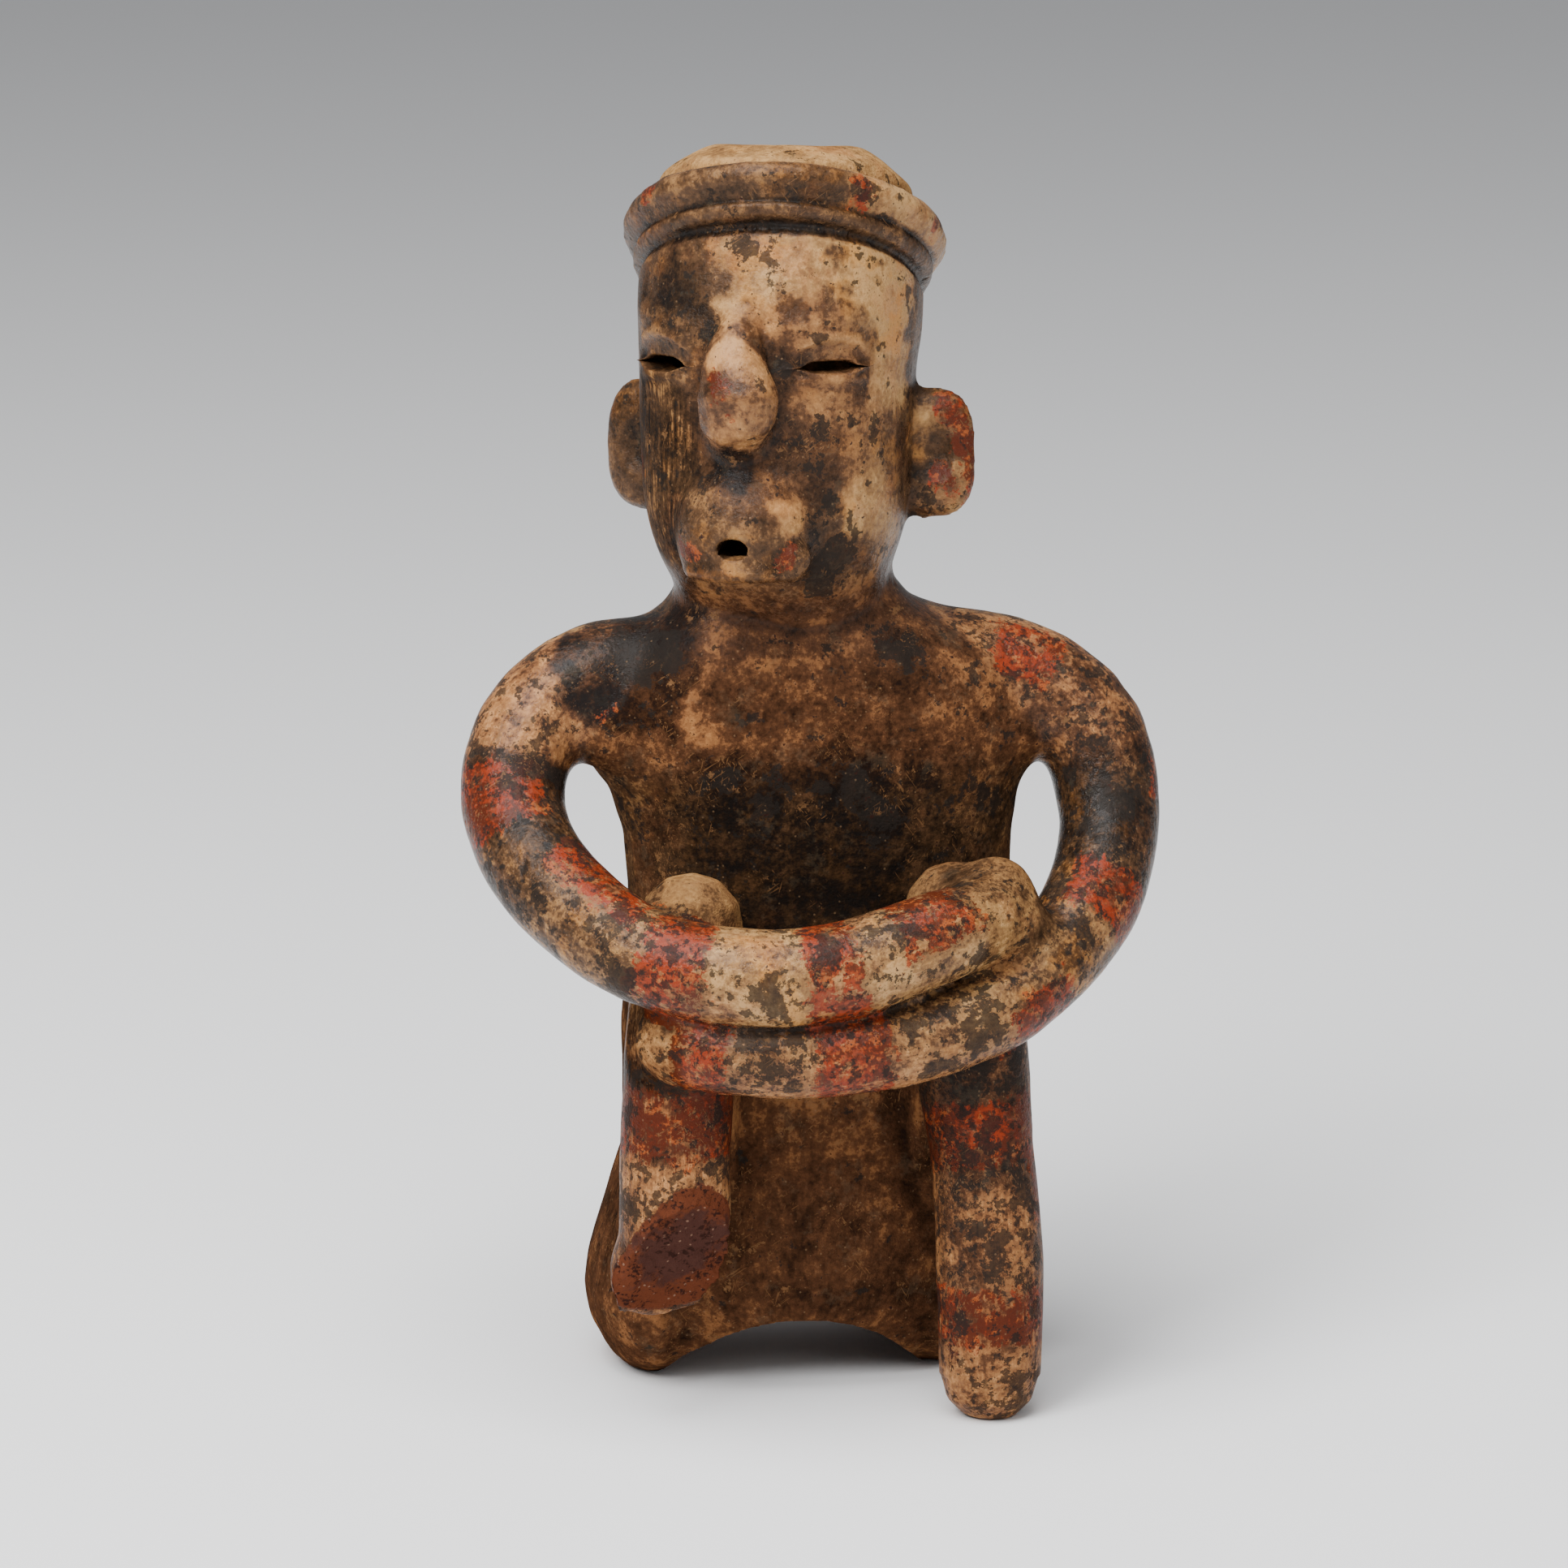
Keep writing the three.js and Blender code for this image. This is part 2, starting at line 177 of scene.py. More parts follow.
def lumps(places, size, seed):
    """Smooth noise between -1 and 1, with lumps about size across."""
    scaled = places / size + 31.7 * seed
    cell = np.floor(scaled).astype(np.int64)
    part = scaled - cell
    ease = part * part * (3 - 2 * part)
    total = np.zeros(len(places))
    for corner in np.ndindex(2, 2, 2):
        x, y, z = (cell + corner).T
        mixed = (x * 73856093) ^ (y * 19349663) ^ (z * 83492791) ^ (seed * 2654435761)
        mixed = (mixed ^ (mixed >> 13)) * 1274126177 & 0x7FFFFFFF
        value = (mixed >> 8) % 4096 / 2047.5 - 1
        share = np.prod(np.where(corner, ease, 1 - ease), axis=1)
        total += share * value
    return total


def centre_line(path, steps=16):
    """Points on a smooth line through the path, in millimetres."""
    knots = np.array(path, float) * UNIT
    knots = np.vstack([2 * knots[0] - knots[1], knots, 2 * knots[-1] - knots[-2]])
    rows = []
    for a, b, c, d in zip(knots, knots[1:], knots[2:], knots[3:]):
        before, here, after = (np.linalg.norm(q - p) ** 0.5 for p, q in ((a, b), (b, c), (c, d)))
        start = here * ((b - a) / before - (c - a) / (before + here) + (c - b) / here)
        end = here * ((c - b) / here - (d - b) / (here + after) + (d - c) / after)
        for t in np.arange(steps) / steps:
            bent = (3 * (c - b) - 2 * start - end) * t**2 + (2 * (b - c) + start + end) * t**3
            rows.append(b + start * t + bent)
    return np.array(rows + [knots[-2]])


class Limb:
    """How each vertex lies on a limb: along it, round it, off its skin, and how surely on it."""

    def __init__(self, name, places):
        path, radii = LIMBS[name]
        line = centre_line(path)
        ahead = np.gradient(line, axis=0)
        ahead /= np.linalg.norm(ahead, axis=1, keepdims=True)
        lengths = np.concatenate([[0], np.cumsum(np.linalg.norm(np.diff(line, axis=0), axis=1))])
        nearest = np.full(len(places), np.inf)
        step = np.zeros(len(places), int)
        for i, point in enumerate(line):
            distance = away(places, point)
            closer = distance < nearest
            nearest[closer] = distance[closer]
            step[closer] = i
        out = places - line[step]
        past = np.sum(out * ahead[step], axis=1)
        self.along = lengths[step] + past
        self.end = lengths[-1]
        self.radial = out - past[:, None] * ahead[step]
        self.radius = np.interp(self.along / self.end, np.linspace(0, 1, len(radii)), np.array(radii) * UNIT)
        side = np.cross(ahead[step], np.array([0.0, -1.0, 0.35]))
        side /= np.linalg.norm(side, axis=1, keepdims=True)
        self.across = np.sum(out * side, axis=1)
        self.outward = np.sum(out * np.cross(side, ahead[step]), axis=1)
        self.angle = np.arctan2(self.across, self.outward)
        self.off = np.linalg.norm(self.radial, axis=1) - self.radius
        self.on = fade(nearest - self.radius, 0.8, 3.0) * (1 - fade(self.along, 3.0, 16.0))

    def band(self, start, end, low=-4.0, high=4.0):
        """How deep each vertex lies inside a painted band, in mm: below 0 outside it."""
        inside = np.minimum(self.along - start, end - self.along)
        around = np.minimum(self.angle - low, high - self.angle) * self.radius
        return np.where(self.on > 0.3, np.minimum(inside, around), BARE)


def head_turn():
    turns = Matrix.Identity(3)
    for axis, angle in HEAD_TURNS.items():
        turns = turns @ Matrix.Rotation(np.radians(angle), 3, axis)
    return turns


def head_frame(places):
    """The same points in the head's own frame."""
    return (places - HEAD_PLACE) @ np.array(head_turn())


def eye_frame(head, side):
    """The same points with the eye slit in the middle: along it, into the head, and above it."""
    turn = np.radians(side * EYE["turn"])
    x = head[:, 0] - side * EYE["across"]
    y = head[:, 1] + EYE["forward"]
    along = x * np.cos(turn) + y * np.sin(turn)
    inward = y * np.cos(turn) - x * np.sin(turn)
    return side * along, inward, head[:, 2] - EYE["level"]


def rays():
    """The 26 directions to a cube's corners, edges and faces."""
    grid = [Vector((x, y, z)) for x in (-1, 0, 1) for y in (-1, 0, 1) for z in (-1, 0, 1)]
    return [step.normalized() for step in grid if step.length]


def lined_faces(solid, tree):
    """Which faces of the solid line its hollow: nothing outside is seen from them in any direction."""
    inner = []
    for face in solid.data.polygons:
        start = face.center + face.normal * 0.2 * MM
        inner.append(all(tree.ray_cast(start, way)[0] is not None for way in rays()))
    return np.array(inner)


class Web:
    """The edges of a mesh, for means over each vertex's neighbours."""

    def __init__(self, piece):
        pairs = np.empty(len(piece.data.edges) * 2, np.int32)
        piece.data.edges.foreach_get("vertices", pairs)
        self.first, self.second = pairs.reshape(-1, 2).T
        self.size = len(piece.data.vertices)
        self.count = np.maximum(np.bincount(pairs, minlength=self.size), 1)

    def mean(self, values):
        there = np.bincount(self.first, values[self.second], self.size)
        back = np.bincount(self.second, values[self.first], self.size)
        return (there + back) / self.count

    def spread(self, values, times):
        for _ in range(times):
            values = 0.5 * values + 0.5 * self.mean(values)
        return values


def bend(piece, web, times):
    """How strongly the surface bends at each vertex, in mm: below 0 on ridges, above 0 in hollows."""
    places, facings = points_of(piece)
    middle = np.column_stack([web.mean(places[:, axis]) for axis in range(3)])
    return web.spread(np.sum((middle - places) * facings, axis=1), times)


def weigh(piece, name, weights):
    """A vertex group with a weight for every vertex, in steps of a tenth."""
    group = piece.vertex_groups.new(name=name)
    steps = np.round(weights * 10)
    for step in np.unique(steps[steps > 0]):
        group.add(np.flatnonzero(steps == step).tolist(), float(step / 10), "REPLACE")


def even_out(piece, rounds, name):
    """Smooths small facets away and keeps the wider forms at their size."""
    finish_modifier(piece, "SMOOTH", factor=0.5, iterations=rounds, vertex_group=name)
    once, _ = points_of(piece)
    finish_modifier(piece, "SMOOTH", factor=0.5, iterations=rounds, vertex_group=name)
    twice, _ = points_of(piece)
    move_points(piece, 2 * once - twice)


def select_points(piece, wanted):
    """Opens the piece in edit mode with the wanted vertices selected."""
    use(piece)
    bpy.ops.object.mode_set(mode="EDIT")
    bpy.ops.mesh.select_mode(type="VERT")
    bpy.ops.mesh.select_all(action="DESELECT")
    bpy.ops.object.mode_set(mode="OBJECT")
    piece.data.vertices.foreach_set("select", wanted)
    bpy.ops.object.mode_set(mode="EDIT")


def refine(piece, wanted):
    """Splits the faces whose corners are all wanted, for finer modelling there."""
    select_points(piece, wanted)
    bpy.ops.mesh.subdivide(number_cuts=1)
    bpy.ops.object.mode_set(mode="OBJECT")


def press_pats(piece):
    """Balls of clay half sunk in the joins; the remeshing makes one skin of them and the figure."""
    for place, radius in PATS:
        deselect()
        middle = tuple((np.array(place) - MIDDLE) * MM)
        bpy.ops.mesh.primitive_ico_sphere_add(subdivisions=4, radius=radius * MM, location=middle)
        pat = bpy.context.active_object
        use(piece)
        pat.select_set(True)
        bpy.ops.object.join()


def copy_of_solid():
    """The copy of the solid that the skin is worked over, with its doubled vertices joined."""
    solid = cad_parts["figure"]
    piece = bpy.data.objects.new("clay_figure", solid.data.copy())
    bpy.context.scene.collection.objects.link(piece)
    piece.data.materials.clear()
    use(piece)
    bpy.ops.object.mode_set(mode="EDIT")
    bpy.ops.mesh.select_all(action="SELECT")
    bpy.ops.mesh.remove_doubles(threshold=0.01 * MM)
    bpy.ops.object.mode_set(mode="OBJECT")
    return piece


def thin_lining(piece, tree, inner):
    """Leaves the lining of the hollow, which is hardly seen, with far fewer faces."""
    nearest = [tree.find_nearest(vertex.co)[2] for vertex in piece.data.vertices]
    lining = Web(piece).spread(inner[nearest].astype(float), 3) > 0.97
    select_points(piece, lining)
    bpy.ops.mesh.decimate(ratio=LINING_KEPT)
    bpy.ops.object.mode_set(mode="OBJECT")


def smooth_forms(piece):
    """Smooths the solid's facets away, most of all on the broad forms."""
    finish_modifier(piece, "SMOOTH", factor=0.5, iterations=5)
    web = Web(piece)
    curved = web.spread(abs(bend(piece, web, 3)), 6)
    broad = fade(curved, 0.012, 0.035)
    weigh(piece, "broad", broad)
    weigh(piece, "all", 0.35 + 0.65 * broad)
    even_out(piece, ROUNDS["all"], "all")
    even_out(piece, ROUNDS["broad"], "broad")
    piece.vertex_groups.clear()


def clay_body():
    """The copy of the solid in even small faces, smooth and with its joins filled."""
    piece = copy_of_solid()
    tree = BVHTree.FromObject(piece, bpy.context.evaluated_depsgraph_get())
    inner = lined_faces(piece, tree)
    press_pats(piece)
    finish_modifier(piece, "REMESH", mode="VOXEL", voxel_size=SKIN_FACE * MM)
    thin_lining(piece, tree, inner)
    smooth_forms(piece)
    return piece


def round_limbs(piece):
    """Brings the limbs' skin to smooth round tubes where nothing else is joined to it."""
    for name in LIMBS:
        places, _ = points_of(piece)
        limb = Limb(name, places)
        share = fade(abs(limb.off), 0.5, 1.1) * (1 - fade(limb.along, 14, 28)) * (limb.along < limb.end)
        outward = limb.radial / np.linalg.norm(limb.radial, axis=1, keepdims=True)
        move_points(piece, places - (share * limb.off)[:, None] * outward)


def soften(piece, weights, rounds):
    """Lets the forms melt together where the weights are."""
    weigh(piece, "soft", weights)
    finish_modifier(piece, "SMOOTH", factor=0.5, iterations=rounds, vertex_group="soft")
    piece.vertex_groups.clear()


def melt_joins(piece):
    """Soft joins round the muzzle, above its ledge, and at the melted places."""
    places, _ = points_of(piece)
    head = head_frame(places)
    muzzle = egg(head, (0, -25.5, 17.5), (14.5, 11.5, 15))
    edge = fade(abs(muzzle - 1.15), 0.28, 0.5)
    shell = edge * (1 - fade(head[:, 2], 10.5, 15)) * fade(head[:, 1], -17, -12)
    mouth = fade(away(head, MOUTH), 6, 9)
    soften(piece, shell * (1 - mouth), ROUNDS["muzzle"])
    joins = np.zeros(len(places))
    for place, radius in MELTED:
        joins = np.maximum(joins, fade(away(places, place), radius * 0.6, radius))
    soften(piece, joins, ROUNDS["joins"])


def head_place(point, turn=0.0):
    """The matrix that puts a tool made at the origin on a point of the head, turned about Z."""
    stand = Matrix.Translation((Vector(HEAD_PLACE) - Vector(MIDDLE)) * MM) @ head_turn().to_4x4()
    return stand @ Matrix.Translation(Vector(point) * MM) @ Matrix.Rotation(np.radians(turn), 4, "Z")


def carve(piece, size, place, cut_below=None):
    """Cuts the form of a rounded tool, of the given half sizes in mm, out of the clay."""
    deselect()
    bpy.ops.mesh.primitive_uv_sphere_add(segments=64, ring_count=32, radius=1, location=(0, 0, 0))
    tool = bpy.context.active_object
    bpy.ops.object.mode_set(mode="EDIT")
    bpy.ops.mesh.select_all(action="SELECT")
    if cut_below is not None:
        bpy.ops.mesh.bisect(plane_co=(0, 0, cut_below), plane_no=(0, 0, 1), use_fill=True, clear_inner=True)
        bpy.ops.mesh.select_all(action="SELECT")
    bpy.ops.object.mode_set(mode="OBJECT")
    tool.matrix_world = place @ Matrix.Diagonal((*(np.array(size) * MM), 1))
    finish_modifier(piece, "BOOLEAN", operation="DIFFERENCE", solver="MANIFOLD", object=tool)
    bpy.data.objects.remove(tool)


def cut_eyes(piece):
    """The slits, cut through the wall with a rounded blade."""
    for side, slit in SLITS.items():
        place = (side * EYE["across"], -EYE["forward"], EYE["level"])
        size = (SLIT_BLADE["half length"], SLIT_BLADE["half depth"], slit["half"])
        carve(piece, size, head_place(place, side * EYE["turn"]))


def pinch_slits(piece):
    """Draws both ends of each slit to a point, and the whole slit narrower, the left one most."""
    places, _ = points_of(piece)
    head = head_frame(places)
    sink = np.zeros(len(places))
    for side, slit in SLITS.items():
        along, inward, above = eye_frame(head, side)
        ends = 1 - fade(abs(along), 3.0, 8.0)
        near = fade(abs(above), 1.8, 6.5) * fade(abs(inward), 9, 13) * fade(abs(along), 8.8, 12)
        sink += (slit["narrow"] + slit["pinch"] * ends) * near * above
    head[:, 2] -= sink
    move_points(piece, head @ np.array(head_turn()).T + HEAD_PLACE)


def cut_mouth(piece):
    """An arched hole with a flat lower lip."""
    carve(piece, MOUTH_TOOL["size"], head_place(MOUTH_TOOL["place"]), cut_below=0.0)


def face_front(places):
    """How surely each vertex belongs to the eyes and the lips."""
    head = head_frame(places)
    near = fade(egg(head, MOUTH, (17, 14, 10)), 0.85, 1.0)
    for side in SLITS:
        eye = np.column_stack(eye_frame(head, side))
        near = np.maximum(near, fade(egg(eye, (0, 0, 0), (11, 7, 7)), 0.85, 1.0))
    return near


def break_frame(places):
    """How far each vertex lies out of the plane of the right shin's break, and how far from its middle."""
    facing = BREAK_FACING / np.linalg.norm(BREAK_FACING)
    step = places - BREAK_PLACE
    out = step @ facing
    return out, np.linalg.norm(step - out[:, None] * facing, axis=1)


def on_break(places, depth):
    """How surely each vertex lies on the broken face, within depth of its plane."""
    out, from_middle = break_frame(places)
    return fade(abs(out), depth / 2, depth) * fade(from_middle, BREAK_RADIUS, BREAK_RADIUS + 2)


def hill(distance, width):
    return np.exp(-((distance / width) ** 2))


def band_level(head):
    """How high each vertex stands against the headband, which slopes up to the front."""
    return head[:, 2] + 0.45 * head[:, 1] - 0.08 * head[:, 0]


def model_band(head):
    """The creases above and below the headband's lower bead, a fuller coil, and a hollow slope over it."""
    level = band_level(head)
    outside = 1 - fade(np.hypot(head[:, 0], head[:, 1] - 3), 20, 23)
    creases = 1.0 * hill(level - BAND["low crease"], 0.9) + 0.7 * hill(level - BAND["high crease"], 0.7)
    slope = 2.2 * hill(level - BAND["slope"], 3.2) * (level > BAND["coil top"])
    coil = 0.7 * hill(level - BAND["coil"], 3.0)
    return outside * (coil - slope) - outside * creases


def slit_edges(places):
    """How surely each vertex lies on the edges of the slits."""
    head = head_frame(places)
    near = np.zeros(len(places))
    for side in SLITS:
        along, inward, above = eye_frame(head, side)
        close = fade(abs(above), 2.4, 3.6) * fade(abs(along), 9, 11) * fade(abs(inward), 4, 6)
        near = np.maximum(near, close)
    return near


def model_eyes(head):
    """Steps in the head's frame: a raised lower lid, an upper lid sloping in under a crease, a brow fold."""
    steps = np.zeros((len(head), 3))
    for side in SLITS:
        along, inward, above = eye_frame(head, side)
        close = fade(abs(inward), 4, 7)
        window = fade(abs(along), 6.0, 9.5) * close
        arch = 5.2 - 0.035 * along**2
        lid = np.clip((arch - above) / 4.2, 0, 1) * (1 - fade(above, -0.9, 0.9))
        depth = (1.6 * lid - 0.6 * hill(above + 2.4, 0.9) - 0.7 * hill(above - arch - 0.9, 0.9)) * window
        depth -= 0.9 * hill(above - 8.5 - 0.1 * along, 3.0) * fade(abs(along), 7, 13) * close
        turn = np.radians(side * EYE["turn"])
        steps += depth[:, None] * np.array([-np.sin(turn), np.cos(turn), 0])
    return steps


def model_lips(head):
    """A pinched edge under the lips, with a lump at the figure's left end of it, and a full lower lip."""
    front = fade(head[:, 1], -27, -23)
    edge = hill(head[:, 2] - 9.4, 1.2) * fade(abs(head[:, 0]), 9, 13) * front
    lump = fade(away(head, (11.3, -30.5, 12.2)), 1.2, 4.6)
    lower = fade(egg(head, (0.5, -33, 12.0), (1.7, 1, 1)), 0.5, 2.4)
    above = hill(head[:, 2] - 12.8, 1.6) * fade(abs(head[:, 0]), 8, 12) * front * (head[:, 1] < -25)
    return 1.1 * edge + 2.0 * lump + 0.6 * lower - 0.45 * above


def uneven_hand(places):
    """How far the maker's hand and small pits lift or sink each vertex: less on the eyes and the lips."""
    calm = 1 - 0.6 * face_front(places)
    hand = 0.45 * lumps(places, 21, 1) + 0.22 * lumps(places, 8, 2) + 0.05 * lumps(places, 3.1, 3)
    wide_pits = 1.5 * np.clip(lumps(places, 3.0, 7) - 0.78, 0, 1)
    small_pits = 1.3 * np.clip(lumps(places, 1.9, 8) - 0.82, 0, 1)
    return calm * (hand - wide_pits - small_pits)


def rough_break(places):
    """How far the grain of the broken clay lifts or sinks each vertex."""
    grain = 0.55 * lumps(places, 4.4, 4) + 0.45 * lumps(places, 2, 5) + 0.28 * lumps(places, 1, 6) - 0.3
    return on_break(places, BREAK_DEPTH) * grain


def model_skin(piece):
    """The headband, the lids and lips, the maker's uneven hand, pits and the rough break."""
    places, _ = points_of(piece)
    on_bead = (abs(band_level(head_frame(places)) - BAND["bead"]) < 4.5) & (places[:, 2] > 200)
    refine(piece, (face_front(places) > 0.5) | (on_break(places, BREAK_DEPTH) > 0.1) | on_bead)
    places, _ = points_of(piece)
    soften(piece, slit_edges(places), ROUNDS["slits"])
    places, facings = points_of(piece)
    head = head_frame(places)
    push = model_lips(head) + model_band(head) + uneven_hand(places) + rough_break(places)
    for place, radius, height in FULLER:
        push += height * fade(away(places, place), 0.2 * radius, radius)
    lids = model_eyes(head) @ np.array(head_turn()).T
    move_points(piece, places + lids + facings * push[:, None])


def lighten(piece, budget):
    """Collapses the flattest faces until the piece keeps to its budget of triangles."""
    triangles = sum(len(face.vertices) - 2 for face in piece.data.polygons)
    finish_modifier(piece, "DECIMATE", ratio=min(1, budget / triangles), use_collapse_triangulate=True)


# The painting.


def give(piece, name, values):
    """A value for every vertex, by name, for the material."""
    kind = "FLOAT" if values.ndim == 1 else "FLOAT_VECTOR"
    layer = piece.data.attributes.new(name, kind, "POINT")
    layer.data.foreach_set("value" if values.ndim == 1 else "vector", values.astype(np.float32).ravel())


# Tones of single places: x, y, z and radius in mm, tone from 0 for black to 1 for pale cream, and strength.
TONES = [
    # trunk, from the neck down
    (-11, -16, 157, 16, 0.60, 0.9), (-35, -9, 149, 17, 0.12, 0.9), (-6, -20, 139, 19, 0.44, 0.9),
    (10, -20, 147, 9, 0.47, 0.7), (-23, -18, 138, 5.5, 0.62, 0.9), (16, -17, 150, 9, 0.24, 0.7),
    (-18, -19, 117, 17, 0.18, 0.9), (5, -21, 116, 18, 0.16, 0.9), (24, -15, 118, 13, 0.22, 0.8),
    (-33, -6, 118, 15, 0.38, 0.9), (34, -6, 118, 15, 0.38, 0.9), (-3, -18, 100, 22, 0.16, 0.9),
    # the lower front wall
    (-5, -22, 66, 20, 0.60, 0.9), (0, -21, 42, 20, 0.45, 0.9), (0, -21, 22, 22, 0.36, 0.9),
    (-2, -21, 32, 6, 0.36, 0.6), (18, -20, 48, 6, 0.36, 0.6), (-13, -20, 48, 5, 0.36, 0.6),
    # haunches and underside
    (-38, -4, 22, 20, 0.34, 0.8), (-35, -8, 6, 14, 0.38, 0.8), (32, 0, 18, 20, 0.42, 0.8),
    # knees
    (-25, -34, 107, 15, 0.56, 1.0), (26, -36, 110, 17, 0.47, 1.0),
    # forehead and temples
    (-30, -12, 230, 15, 0.36, 1.0), (-26, -18, 222, 9, 0.22, 0.9), (-4, -27, 229, 15, 0.80, 1.0),
    (13, -20, 226, 14, 0.96, 1.0), (-17, -24, 233, 6, 0.74, 0.8), (3, -26, 231, 2.8, 0.44, 0.9),
    (5, -27, 225, 2.8, 0.42, 0.9), (13, -21, 228, 2.2, 0.38, 0.9), (-6, -29, 220, 4.5, 0.38, 0.9),
    (2, -28, 218, 6, 0.54, 0.9), (18, -16, 236, 8, 0.70, 0.7),
    # nose and eyes
    (-18, -26, 221, 5, 0.86, 1.0), (-20, -34, 213, 5, 0.94, 0.9), (-14, -35, 210, 5.5, 0.74, 0.9),
    (-13, -36, 203, 5, 0.64, 0.8), (-20, -37, 197, 7, 0.66, 0.9), (-25, -27, 210, 4, 0.30, 0.9),
    (5, -27, 213, 8, 0.62, 0.8), (-28, -18, 214, 7, 0.42, 0.8),
    # cheeks
    (14, -20, 207, 9, 0.92, 1.0), (10, -25, 193, 9, 0.66, 0.8), (0, -30, 203, 8, 0.68, 0.9),
    (9, -25, 182, 8, 0.82, 0.9), (13, -20, 175, 9, 0.70, 0.8), (-30, -16, 196, 12, 0.30, 0.9),
    (-30, -16, 180, 12, 0.34, 0.9), (-1, -28, 184, 5, 0.40, 0.8), (4, -27, 168, 10, 0.42, 0.9),
    # lips and chin; the first, near black, is a painted shadow under the nose
    (-19, -31, 189, 6.5, 0.02, 1.0), (-20, -32, 181, 8, 0.48, 0.8), (-8, -35, 183, 6, 0.74, 0.9),
    (-2, -32, 178, 4, 0.30, 0.9), (-17, -33, 174, 5, 0.72, 0.9), (-12, -24, 164, 13, 0.47, 0.9),
    # ears
    (22, -8, 192, 7, 0.80, 1.0), (27, -9, 192, 5, 0.56, 0.9), (30, -8, 182, 7, 0.60, 0.9),
    (-33, 8, 188, 14, 0.29, 0.8),
]

# Red and black patches of single places: x, y, z and radius in mm.
REDS = [
    (29.5, -9, 198, 4.6), (27, -10, 184, 3.6), (32, -7, 190, 3.6), (32, -7, 183, 3.6), (-21, -37, 208, 2.8),
    (-20, -38, 202, 1.4), (-9, -36, 174, 2.6), (-27, -27, 174, 2.4), (9, -25, 242, 2.8), (24, -10, 233, 2.4),
    (-31, -8, 243, 2.6), (-37, -2, 188, 6.5), (-36, 2, 200, 3.0),
]
BLACKS = [
    (-17, -23, 235, 2.3), (-9, -30, 212, 2.6), (-22, -24, 217, 2.4), (-26, -18, 223, 3.2), (0, -30, 196, 1.9),
    (11, -24, 198, 1.1), (-1, -30, 184, 2.6), (1, -26, 169, 5.2), (-4, -31, 192, 1.4), (4, -26, 175, 2.0),
    (-28, -17, 219, 2.2), (27, -10, 190, 2.2), (-13, -20, 48, 1.2), (3, -20, 59, 1.2), (-9, -21, 70, 1.0),
    (9, -21, 68, 1.3), (-3, -21, 52, 0.8),
    (-35, -9, 149, 7.0), (-30, -13, 152, 5.0), (6, -20, 126, 5.0), (-9, -20, 123, 4.0),
    (16, -17, 153, 5.0), (12, -20, 120, 5.0), (-20, -19, 126, 4.0),
]

# Unburnished places, the knees and the hands' ends: x, y, z and radius in mm.
MATT_PLACES = [(-25, -34, 108, 15), (26, -38, 110, 16), (31, -43, 101, 11), (-33, -41, 80, 12)]

# The best burnished places, the nose and the forehead: x, y, z and radius in mm.
GLOSSY_PLACES = [(-20, -36, 207, 13), (-4, -27, 232, 13)]

# The left foot's worn toe.
WORN_TOE = (22, -46, 13)

# How matt and how streaked each limb is, and how spotted they all are.
LIMB_FINISH = {
    "right arm": (0.06, 0.3), "left arm": (0.06, 0.3),
    "right leg": (0.35, 0.6), "left leg": (0.35, 0.35),
}
LIMB_SPOTS = 0.72

# How the edges of patches wander: how far and with lumps of what size, in mm, and the seeds for x, y and z.
WANDER = [(2.6, 6, (11, 12, 13)), (1.2, 2.2, (18, 19, 20))]

# Painted bands of the limbs: start and end along the limb in mm, and from what angle to what angle round it.
RED_BANDS = {
    "right arm": [(57, 73, -0.6, 2.6), (82, 108, -1.7, -0.1), (111, 124, -2.6, 2.8), (141, 152, -2.6, 2.8),
                  (160, 176, -1.9, 0.3), (30, 36, -1.6, -0.7)],
    "left arm": [(25, 37, -0.9, 0.2), (22, 32, 0.9, 2.0), (8, 40, -2.2, -1.4), (58, 66, -1.5, -0.9),
                 (83, 96, -1.6, 0.7), (110, 124, -2.6, -0.2), (147, 161, -2.8, 2.8), (176, 187, -2.8, 2.8)],
    "right leg": [(31, 45, -2.2, 2.2)],
    "left leg": [(35, 49, -2.2, 2.2), (50, 62, -1.7, -0.9), (73, 85, -2.2, 2.2)],
}
BLACK_BANDS = {
    "right arm": [(55, 64, -1.5, 0.4), (107, 113, 0.5, 1.7)],
    "left arm": [(64, 72, -0.5, 0.4), (143.5, 147, 0.4, 1.3), (126, 129, -0.4, 0.5), (130, 133, -1.0, -0.2),
                 (163.2, 165.4, -0.8, 0.7), (167.2, 169.4, -0.8, 0.7), (171.3, 173.5, -0.8, 0.7)],
    "right leg": [(28, 31, -0.9, 1.2), (52, 58, 0.9, 1.7), (53, 55.5, -1.0, -0.5), (36, 39, 0.9, 1.4)],
    "left leg": [(31, 34, -0.9, 0.9), (49, 52, -0.1, 0.4), (67, 71, -0.3, 0.6), (60, 63, 0.0, 0.8),
                 (77, 80, 0.6, 1.1)],
}

